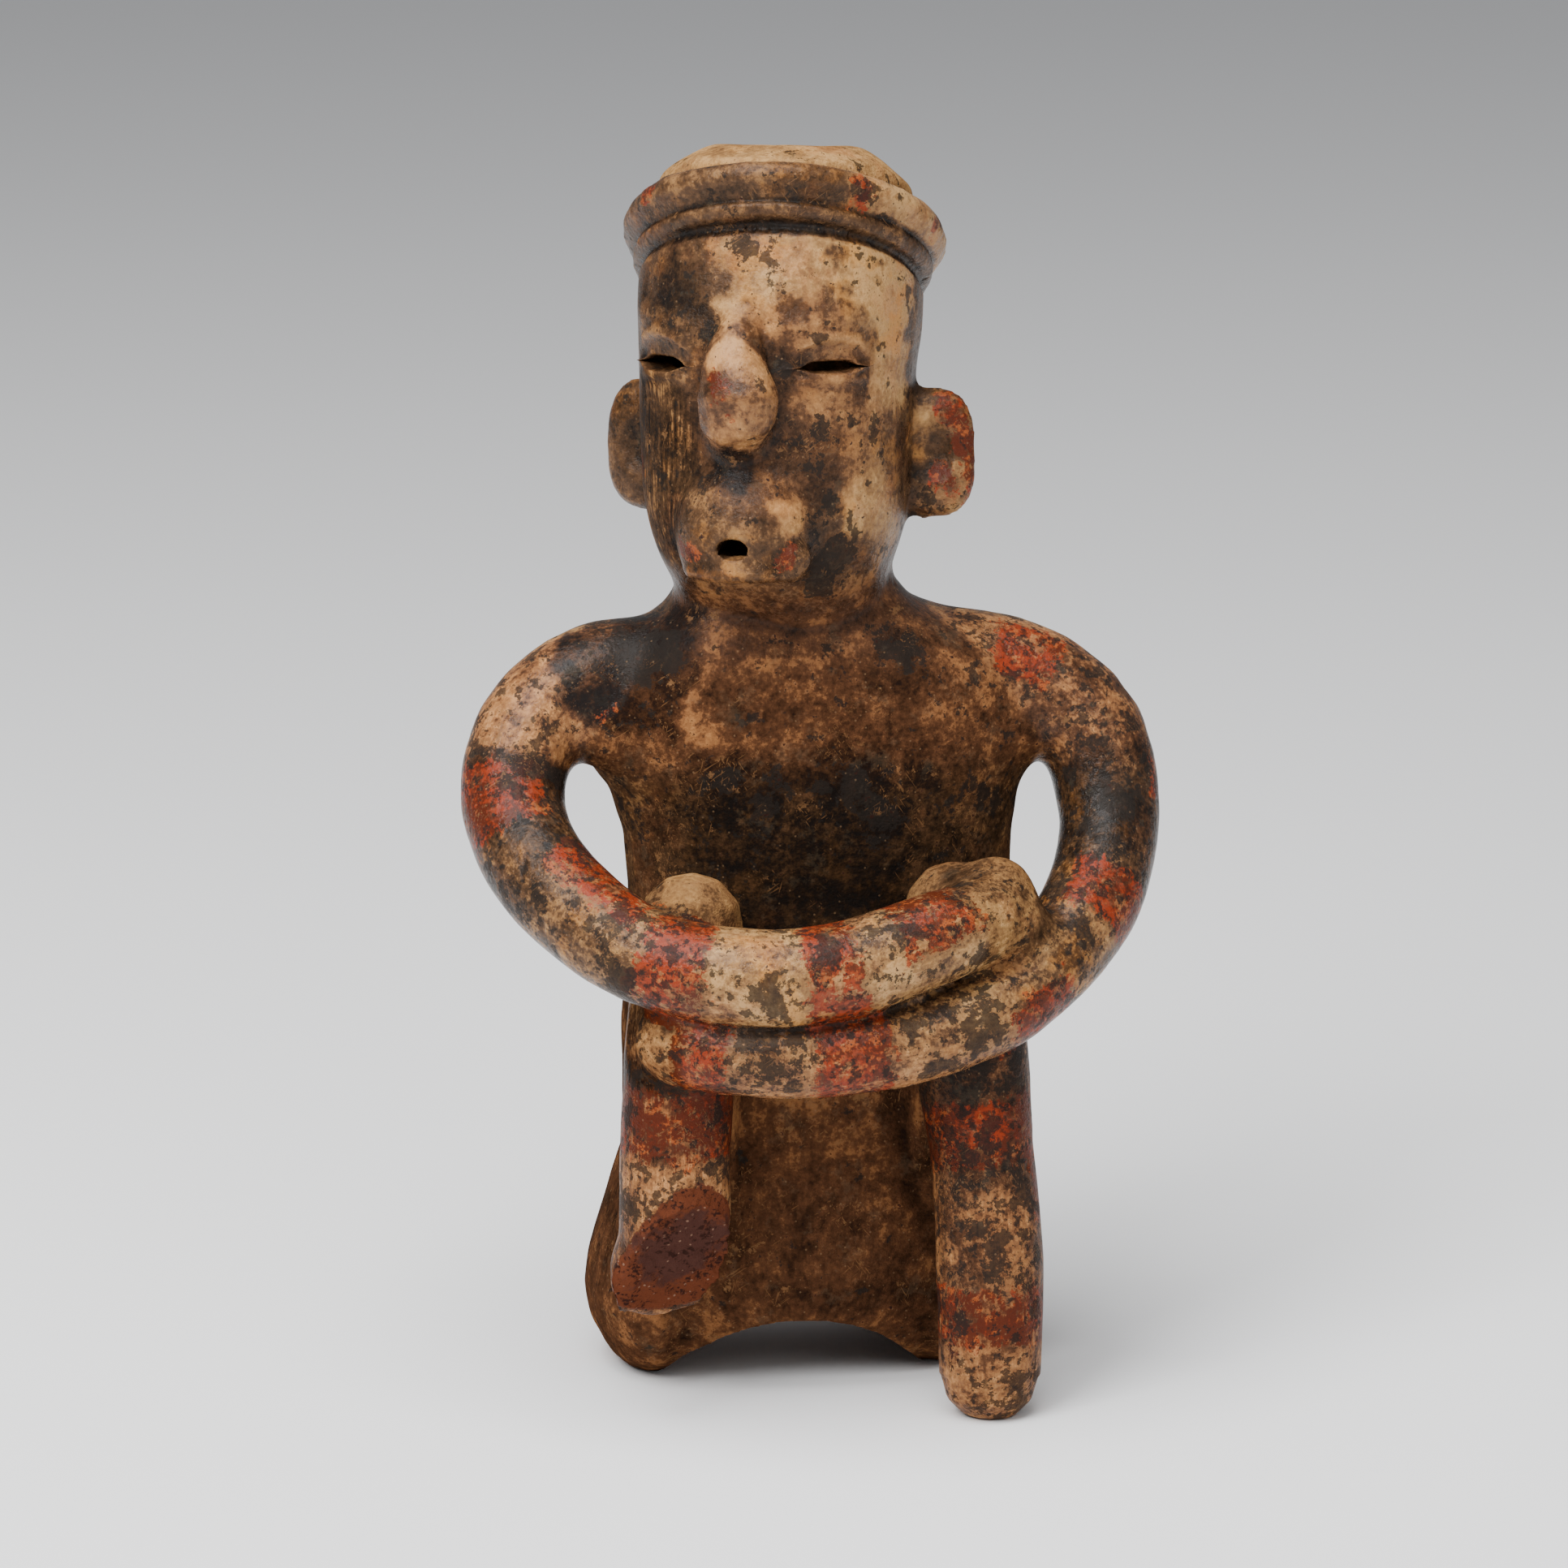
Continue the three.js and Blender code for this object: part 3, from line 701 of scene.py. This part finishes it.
# Tones along each limb: start and end in mm and the tone between them.
LIMB_TONES = {
    "right arm": [(0, 17, 0.20), (17, 55, 0.70), (55, 74, 0.36), (74, 90, 0.36), (90, 111, 0.56),
                  (111, 124, 0.64), (124, 141, 0.78), (141, 152, 0.72), (152, 163, 0.68), (163, 172, 0.72),
                  (172, 200, 0.62)],
    "left arm": [(0, 12, 0.42), (12, 36, 0.68), (36, 55, 0.50), (55, 84, 0.26), (84, 96, 0.48),
                 (96, 110, 0.56), (110, 147, 0.64), (147, 163, 0.58), (163, 175, 0.58), (175, 200, 0.58)],
    "right leg": [(0, 25, 0.52), (25, 31, 0.28), (31, 45, 0.42), (45, 60, 0.68), (60, 90, 0.5)],
    "left leg": [(0, 20, 0.50), (20, 35, 0.38), (35, 49, 0.34), (49, 64, 0.54), (64, 73, 0.48),
                 (73, 84, 0.58), (84, 110, 0.58)],
}


def band_tones(limb, rows, tone):
    """Lays the tones of a limb over what is there, with soft joins between them."""
    level = np.zeros(len(tone))
    total = np.full(len(tone), 1e-6)
    for start, end, value in rows:
        share = fade(start - limb.along, -1.5, 1.5) * fade(limb.along - end, -1.5, 1.5)
        level += share * value
        total += share
    weight = limb.on * np.clip(total, 0, 1)
    return tone * (1 - weight) + weight * level / total


def blend(base, value, share):
    return base * (1 - share) + value * share


def paint_head(places, tone):
    """Tones of the headband's coil and bead, a painted shadow in the groove below, the crown, and where the
    crown is.
    """
    head = head_frame(places)
    level = band_level(head) + 0.5 * lumps(places, 5, 16)
    coil = 0.36 + 0.10 * lumps(places, 9, 17) + 0.38 * (1 - fade(places[:, 0], -2, 14))
    tone = blend(tone, coil, fade(abs(level - PAINTED_BAND["coil"]), 4.4, 5.4))
    tone = blend(tone, 0.36, fade(abs(level - PAINTED_BAND["bead"]), 2.0, 2.8))
    # A painted shadow along the groove under the bead, on the front of the head.
    crease_shade = 0.8 * fade(abs(level - PAINTED_BAND["crease_shade"]), 0.4, 1.4) * (head[:, 1] < 0)
    tone = blend(tone, 0.26, crease_shade)
    crown = 1 - fade(level, PAINTED_BAND["crown"], PAINTED_BAND["crown"] + 1.6)
    return blend(tone, 0.78, crown), crown


def ground_coat(places):
    """The painting before any patch is laid: a value or a way for every vertex, by name."""
    _, y, z = places.T
    cheek = fade(egg(places, (-33, -14, 188), (16, 16, 26)), 0.7, 1.0)
    wall = fade(z, 70, 92)
    belly = fade(abs(z - 136), 14, 34) * (y < 0)
    chest = fade(abs(z - 146), 14, 26) * (y < 0)
    face = 0.6 * fade(away(places, (-8, -34, 202)), 18, 26)
    return {
        "tone": 0.42 + 0.10 * lumps(places, 30, 14) + 0.08 * lumps(places, 13, 15),
        "red": np.full(len(places), BARE),
        "black": np.full(len(places), BARE),
        "spots": 0.10 + 0.12 * (z > 160) + 0.42 * belly - 0.55 * wall - 0.25 * chest,
        "streak": 0.06 + 0.8 * cheek,
        "matt": blend(0.20 + 0.65 * fade(z, 136, 162), 0.6, cheek),
        "warm": 0.9 * np.maximum.reduce([wall, chest, face]),
        "stroke": places[:, [2, 0, 1]].copy(),
    }


def paint_limbs(coat, places):
    """Tones, bands and finish of the arms and legs."""
    for name, tones in LIMB_TONES.items():
        limb = Limb(name, places)
        coat["tone"] = band_tones(limb, tones, coat["tone"])
        for band in RED_BANDS[name]:
            coat["red"] = np.maximum(coat["red"], limb.band(*band))
        for band in BLACK_BANDS[name]:
            coat["black"] = np.maximum(coat["black"], limb.band(*band))
        on = limb.on > 0.5
        coat["stroke"][on] = np.column_stack([limb.along, limb.across, limb.outward])[on]
        coat["spots"] = np.maximum(coat["spots"], LIMB_SPOTS * limb.on)
        matt, streak = LIMB_FINISH[name]
        coat["matt"] = blend(coat["matt"], matt, limb.on)
        coat["streak"] = np.maximum(coat["streak"], streak * limb.on)


def paint_patches(coat, wander):
    """Tones and slips of single places, with wandering edges."""
    for x, y, z, radius, value, strength in TONES:
        edge = 1 - 1.2 / radius - 0.12
        share = strength * fade(away(wander, (x, y, z)) / radius, edge, 1.0)
        coat["tone"] = blend(coat["tone"], value, share)
    for name, patches in (("red", REDS), ("black", BLACKS)):
        for x, y, z, radius in patches:
            coat[name] = np.maximum(coat[name], radius - away(wander, (x, y, z)))


def rub(coat, places, crown):
    """Matt knees, hands' ends and crown, and a glossy nose and forehead."""
    for x, y, z, radius in MATT_PLACES:
        dull = fade(away(places, (x, y, z)) / radius, 0.8, 1.1)
        coat["matt"] = np.maximum(coat["matt"], dull)
        coat["spots"] = coat["spots"] * (1 - 0.3 * dull)
    coat["matt"] = np.maximum(coat["matt"], crown * 0.8)
    for x, y, z, radius in GLOSSY_PLACES:
        bright = fade(away(places, (x, y, z)) / radius, 0.5, 1.0)
        coat["matt"] = blend(coat["matt"], 0.08, bright)


def paint(piece, web):
    """Gives every vertex its tone, its slips, its finish, the stroke's way, and painted shade or light by the
    surface's bend.
    """
    places, _ = points_of(piece)
    wander = places.copy()
    for reach, size, seeds in WANDER:
        wander += reach * np.column_stack([lumps(places, size, seed) for seed in seeds])
    coat = ground_coat(places)
    paint_limbs(coat, places)
    paint_patches(coat, wander)
    coat["tone"], crown = paint_head(places, coat["tone"])
    rub(coat, places, crown)
    toe = fade(away(wander, WORN_TOE), 3, 6)
    coat["raw"] = np.maximum(on_break(places, 3.0), 0.8 * toe)
    coat["matt"] = np.maximum(coat["matt"], coat["raw"])
    _, coat["rim"] = break_frame(places)
    # Painted shade in the skin's hollows and painted light on its ridges, by how the surface bends.
    coat["crease_shade"] = np.clip(bend(piece, web, 4) / 0.05, -1, 1)
    coat["tone"] = np.clip(coat["tone"], 0, 1)
    coat["red"] = np.clip(coat["red"], -5, 5)
    coat["black"] = np.clip(coat["black"], -5, 5)
    for name, values in coat.items():
        give(piece, name, values)


# The material.


class Nodes:
    """A material's node tree, with short words for its nodes."""

    def __init__(self, name):
        self.material = bpy.data.materials.new(name)
        self.material.use_nodes = True
        self.tree = self.material.node_tree
        self.tree.nodes.clear()

    def put(self, kind, inputs=None, **settings):
        """A node with its settings and inputs: a socket is linked, and anything else is a value."""
        made = self.tree.nodes.new("ShaderNode" + kind)
        for name, value in settings.items():
            setattr(made, name, value)
        for key, value in (inputs or {}).items():
            if isinstance(value, bpy.types.NodeSocket):
                self.tree.links.new(value, made.inputs[key])
            else:
                made.inputs[key].default_value = value
        return made

    def math(self, operation, first, second=0.0, third=0.0):
        return self.put("Math", {0: first, 1: second, 2: third}, operation=operation).outputs[0]

    def vector(self, operation, first, second):
        return self.put("VectorMath", {0: first, 1: second}, operation=operation).outputs[0]

    def add(self, *terms):
        total = terms[0]
        for term in terms[1:]:
            total = self.math("ADD", total, term)
        return total

    def times(self, first, second):
        return self.math("MULTIPLY", first, second)

    def noise(self, place, size, detail=4.0, roughness=0.6):
        """Noise from about -1 to 1, with patches of the given size in the place's own units."""
        inputs = {"Vector": place, "Scale": 1 / size, "Detail": detail, "Roughness": roughness}
        return self.math("MULTIPLY_ADD", self.put("TexNoise", inputs).outputs["Fac"], 4.0, -2.0)

    def step(self, value, low, high):
        """0 below low, 1 above high, smooth between."""
        inputs = {"Value": value, "From Min": low, "From Max": high}
        return self.put("MapRange", inputs, interpolation_type="SMOOTHSTEP").outputs["Result"]

    def mix(self, share, first, second):
        return self.put("Mix", {0: share, 6: first, 7: second}, data_type="RGBA").outputs[2]

    def value(self, name):
        return self.put("Attribute", attribute_name=name).outputs["Fac"]


class Clay(Nodes):
    """The clay's nodes, with the noises and painted values that several of its layers use."""

    def __init__(self, name):
        super().__init__(name)
        metres = self.put("TexCoord").outputs["Object"]
        self.place = self.vector("MULTIPLY", metres, (1000, 1000, 1000))
        self.broad = self.noise(self.place, 14)
        self.middle = self.noise(self.place, 4.5, 7, 0.68)
        self.small = self.noise(self.place, 1.1, 4)
        self.flaked = self.noise(self.place, 7.5, 9, 0.72)
        self.matt = self.value("matt")
        self.warm = self.value("warm")
        self.spots = self.value("spots")
        way = self.put("Attribute", attribute_name="stroke").outputs["Vector"]
        strokes = self.noise(self.vector("MULTIPLY", way, (0.09, 1, 1)), 0.9, 3)
        patchy = self.math("MULTIPLY_ADD", self.step(self.middle, -0.3, 0.3), 0.9, 0.35)
        self.drawn = self.times(strokes, self.times(self.value("streak"), patchy))

    def grains(self, size, seed, radius, empty):
        """Round grains in cells of a size in mm: their radius in cell sizes, and the share of empty cells."""
        moved = self.vector("ADD", self.place, (seed * 7.3, seed * 3.1, 0))
        cell = self.put("TexVoronoi", {"Vector": moved, "Scale": 1 / size})
        pick = self.put("SeparateColor", {"Color": cell.outputs["Color"]}).outputs[0]
        grain = self.step(self.math("SUBTRACT", radius, cell.outputs["Distance"]), 0.0, 0.1)
        return self.times(grain, self.step(pick, empty, empty + 0.02))


# The clay's colours from black to pale cream, by tone.
RAMP = [
    (0.00, (0.009, 0.007, 0.006)), (0.15, (0.015, 0.009, 0.006)), (0.30, (0.034, 0.018, 0.009)),
    (0.45, (0.062, 0.031, 0.015)), (0.55, (0.088, 0.044, 0.020)), (0.64, (0.167, 0.083, 0.034)),
    (0.75, (0.222, 0.114, 0.043)), (0.88, (0.300, 0.163, 0.062)), (1.00, (0.390, 0.224, 0.090)),
]

# What yellow and reddish stains multiply the clay's colour by.
YELLOW_STAIN = (1.0, 0.80, 0.50)
RED_STAIN = (1.0, 0.82, 0.80)

# The slips, what shows under them, and what lies on them.
SLIPS = {
    "deep red": (0.070, 0.014, 0.006, 1), "bright red": (0.210, 0.025, 0.007, 1),
    "thin red": (0.260, 0.060, 0.015, 1), "black": (0.016, 0.013, 0.011, 1),
    "scratch": (0.20, 0.095, 0.038, 1), "chip": (0.165, 0.080, 0.033, 1),
    "bloom": (0.085, 0.066, 0.042, 1), "dust": (0.26, 0.155, 0.080, 1),
}

# The broken clay.
BROKEN = {
    "rim": (0.105, 0.031, 0.015, 1), "core": (0.058, 0.024, 0.018, 1),
    "grain": (0.23, 0.13, 0.085, 1), "pore": (0.028, 0.012, 0.009, 1),
}

# Black spots: size in mm, the noise level where they start, and where in the noise they are taken from.
BLACK_SPOTS = [(6.0, 0.56, (3, 40, 7)), (2.2, 0.62, (60, 5, 11))]

# Scratches: the angles they run at in degrees, and where in the noise they are taken from.
SCRATCHES = [((0, 35, 10), 5.0), ((0, -55, -10), 9.0), ((0, 80, 15), 23.0)]


def ramp_color(n, level):
    """The clay's colour at a tone."""
    ramp = n.put("ValToRGB", {"Fac": level})
    points = ramp.color_ramp.elements
    points.remove(points[1])
    points[0].position = RAMP[0][0]
    points[0].color = (*RAMP[0][1], 1)
    for position, color in RAMP[1:]:
        points.new(position).color = (*color, 1)
    return ramp.outputs["Color"]


def tint(n, share, color, shade):
    """The colour multiplied by a shade, by a share."""
    inputs = {0: 1.0, 6: color, 7: (*shade, 1)}
    dyed = n.put("Mix", inputs, data_type="RGBA", blend_type="MULTIPLY").outputs[2]
    return n.mix(share, color, dyed)


def ground_color(n):
    """The clay under the slips, by its tone, with painted shade in hollows and light on ridges, and yellow
    and reddish stains.
    """
    uneven = n.add(n.times(n.broad, 0.15), n.times(n.middle, 0.30), n.times(n.small, 0.22))
    uneven = n.add(uneven, n.times(n.step(n.flaked, -0.06, 0.06), 0.14), -0.07)
    level = n.add(n.value("tone"), n.times(uneven, n.math("MULTIPLY_ADD", n.spots, 0.6, 0.62)))
    # The bend of the skin darkens hollows and lightens ridges: painted shade and painted light.
    level = n.add(level, n.times(n.drawn, 0.42), n.times(n.value("crease_shade"), -0.16))
    color = ramp_color(n, level)
    yellow = n.times(n.step(n.noise(n.place, 9, 4), 0.1, 0.5), n.math("MULTIPLY_ADD", n.matt, -0.6, 0.75))
    color = tint(n, n.times(yellow, n.math("SUBTRACT", 1.0, n.warm)), color, YELLOW_STAIN)
    reddish = n.times(n.step(n.noise(n.place, 12, 5), 0.05, 0.5), 0.6)
    return tint(n, n.math("MAXIMUM", reddish, n.warm), color, RED_STAIN)


def lay_red(n, color):
    """Red slip with ragged edges, worn thin in places."""
    ragged = n.add(n.times(n.middle, 2.6), n.times(n.small, 1.2), n.times(n.drawn, 4.0))
    red = n.step(n.add(n.value("red"), ragged), -0.2, 0.5)
    worn = n.step(n.add(n.noise(n.place, 4.2, 8, 0.7), n.times(n.drawn, 0.8)), 0.18, 0.28)
    red = n.times(red, n.math("SUBTRACT", 1.0, n.times(worn, 0.62)))
    bright = n.step(n.add(n.broad, n.small, n.times(n.matt, -1.5)), -0.5, 0.4)
    slip = n.mix(bright, SLIPS["deep red"], SLIPS["bright red"])
    thin = n.step(n.add(n.middle, n.times(n.small, 0.5)), 0.25, 0.6)
    return n.mix(n.times(red, 0.96), color, n.mix(thin, slip, SLIPS["thin red"]))


def lay_black(n, color):
    """Black slip in patches and ragged spots: the colour, and where the black is."""
    black = n.step(n.add(n.value("black"), n.times(n.middle, 5.0), n.times(n.small, 1.6)), 0.0, 0.8)
    for size, start, shift in BLACK_SPOTS:
        spot = n.noise(n.vector("ADD", n.place, shift), size, 8, 0.66)
        reach = n.add(spot, n.times(n.spots, 0.5), n.times(n.broad, 0.25))
        black = n.math("MAXIMUM", black, n.times(n.step(reach, start, start + 0.07), 0.92))
    return n.mix(n.times(black, 0.9), color, SLIPS["black"]), black


def fine_lines(n, angles, shift):
    """Fine short lines that all run one way."""
    moved = n.vector("ADD", n.place, (shift, shift, shift))
    inputs = {"Vector": moved, "Rotation": tuple(np.radians(angles))}
    turned = n.put("VectorRotate", inputs, rotation_type="EULER_XYZ").outputs[0]
    return n.step(n.noise(n.vector("MULTIPLY", turned, (0.09, 2.6, 2.6)), 1.0, 1), 0.66, 0.84)


def scratch(n, color):
    """Scratches and chips through the slip: the colour, and where the scratches are."""
    handled = n.step(n.noise(n.place, 11, 3), 0.0, 0.35)
    lines = 0.0
    for angles, shift in SCRATCHES:
        lines = n.math("MAXIMUM", lines, fine_lines(n, angles, shift))
    lines = n.times(lines, handled)
    color = n.mix(n.times(lines, 0.45), color, SLIPS["scratch"])
    chips = n.step(n.noise(n.vector("ADD", n.place, (17, 3, 90)), 3.2, 6, 0.75), 0.36, 0.42)
    return n.mix(n.times(n.times(chips, handled), 0.7), color, SLIPS["chip"]), lines


def soil(n, color):
    """A pale bloom and grains of dust."""
    bloom = n.step(n.add(n.noise(n.place, 6, 6, 0.7), n.times(n.small, 0.3)), 0.22, 0.6)
    color = n.mix(n.times(bloom, 0.18), color, SLIPS["bloom"])
    return n.mix(n.times(n.grains(1.0, 6, 0.26, 0.86), 0.28), color, SLIPS["dust"])


def lay_break(n, color):
    """Broken and worn bare clay: the colour, and how its temper grains stand up."""
    raw = n.value("raw")
    core = n.step(n.add(n.value("rim"), n.times(n.middle, 6.0)), 12.0, 7.5)
    broken = n.mix(core, BROKEN["rim"], BROKEN["core"])
    grains = n.grains(1.1, 4, 0.30, 0.80)
    broken = n.mix(n.times(grains, 0.7), broken, BROKEN["grain"])
    broken = n.mix(n.step(n.add(n.middle, n.small), 0.15, 0.7), broken, BROKEN["pore"])
    share = n.step(n.add(raw, n.times(n.small, 0.5), n.times(n.middle, 0.3)), 0.35, 0.5)
    return n.mix(share, color, broken), n.times(grains, n.times(raw, 1.5))


def clay_material():
    """Slip-painted, burnished and worn clay."""
    n = Clay("slipped clay")
    color, black = lay_black(n, lay_red(n, ground_color(n)))
    color, lines = scratch(n, color)
    color, grit = lay_break(n, soil(n, color))
    rough = n.add(0.18, n.times(n.matt, 0.47), n.times(n.middle, 0.10))
    rough = n.add(rough, n.times(n.small, 0.06), n.times(black, 0.05))
    polish = n.step(n.matt, 1.0, -0.15)
    shine = n.times(n.times(polish, polish), n.math("MULTIPLY_ADD", black, -0.10, 0.17))
    grain = n.times(n.noise(n.place, 0.45, 2), n.math("MULTIPLY_ADD", n.matt, 0.6, 0.12))
    relief = n.add(n.times(n.small, 0.5), grain, n.times(lines, -0.5), grit, n.times(n.flaked, 0.5))
    bump = n.put("Bump", {"Height": relief, "Strength": 0.6, "Distance": 0.00018}).outputs["Normal"]
    inputs = {"Base Color": color, "Roughness": rough, "Specular IOR Level": shine, "Normal": bump}
    n.put("OutputMaterial", {"Surface": n.put("BsdfPrincipled", inputs).outputs["BSDF"]})
    return n.material


# The stage.

FLOOR_SIZE = 9  # metres
FLOOR_COLOR = (0.93, 0.93, 0.935, 1)
ROOM_COLOR = (0.60, 0.61, 0.63, 1)
ROOM_LIGHT = 0.42

# The lamps: place and size in metres, and power in watts.
LAMPS = {
    "key": ((-0.75, -0.85, 1.05), 0.6, 19),
    "top": ((-0.25, -0.35, 1.35), 1.0, 28),
    "fill": ((0.9, -1.1, 0.7), 1.2, 4),
    "front": ((0.0, -1.3, 1.2), 1.0, 5),
}
LIT_MIDDLE = Vector((0, 0, 0.12))

# The camera: the point that it looks at and its distance in mm, its turn and rise in degrees, its sensor in
# mm, the picture's width in pixels, and the pixels that a millimetre of the figure takes.
LOOKED_AT = Vector((-4.28, 12.162, 121.08))
CAMERA = {"away": 1400, "turn": -8, "rise": 12.5, "sensor": 36, "width": 1932, "pixels": 6.1623}


def pale_floor():
    """A wide plain floor."""
    deselect()
    bpy.ops.mesh.primitive_plane_add(size=FLOOR_SIZE, location=(0, 0, 0))
    floor = bpy.context.active_object
    floor.name = "floor"
    paper = bpy.data.materials.new("pale floor")
    paper.use_nodes = True
    shader = paper.node_tree.nodes["Principled BSDF"]
    shader.inputs["Base Color"].default_value = FLOOR_COLOR
    shader.inputs["Roughness"].default_value = 0.9
    floor.data.materials.append(paper)


def studio():
    """Soft light from the upper left in front, in a grey room."""
    pale_floor()
    world = bpy.data.worlds.new("studio")
    world.use_nodes = True
    room = world.node_tree.nodes["Background"]
    room.inputs["Color"].default_value = ROOM_COLOR
    room.inputs["Strength"].default_value = ROOM_LIGHT
    bpy.context.scene.world = world
    for name, (place, size, power) in LAMPS.items():
        lamp = bpy.data.lights.new(name, "AREA")
        lamp.size = size
        lamp.energy = power
        lamp_object = bpy.data.objects.new(name, lamp)
        lamp_object.location = place
        lamp_object.rotation_euler = (LIT_MIDDLE - Vector(place)).to_track_quat("-Z", "Y").to_euler()
        bpy.context.scene.collection.objects.link(lamp_object)


def camera():
    """Looks down at the figure from in front, a little to its right."""
    turn = np.radians(CAMERA["turn"])
    rise = np.radians(CAMERA["rise"])
    back = Vector((np.sin(turn) * np.cos(rise), -np.cos(turn) * np.cos(rise), np.sin(rise)))
    lens = bpy.data.cameras.new("camera")
    lens.sensor_width = CAMERA["sensor"]
    lens.lens = CAMERA["sensor"] * CAMERA["away"] * CAMERA["pixels"] / CAMERA["width"]
    lens.clip_end = 20
    eye = bpy.data.objects.new("camera", lens)
    eye.location = (LOOKED_AT + back * CAMERA["away"]) * MM
    eye.rotation_euler = (-back).to_track_quat("-Z", "Y").to_euler()
    bpy.context.scene.collection.objects.link(eye)
    bpy.context.scene.camera = eye


camera()
studio()
figure = clay_body()
round_limbs(figure)
melt_joins(figure)
cut_eyes(figure)
pinch_slits(figure)
cut_mouth(figure)
model_skin(figure)
lighten(figure, TRIANGLES)
paint(figure, Web(figure))
use(figure)
bpy.ops.object.shade_smooth()
figure.data.materials.clear()
figure.data.materials.append(clay_material())
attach(figure, "root")
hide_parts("figure")
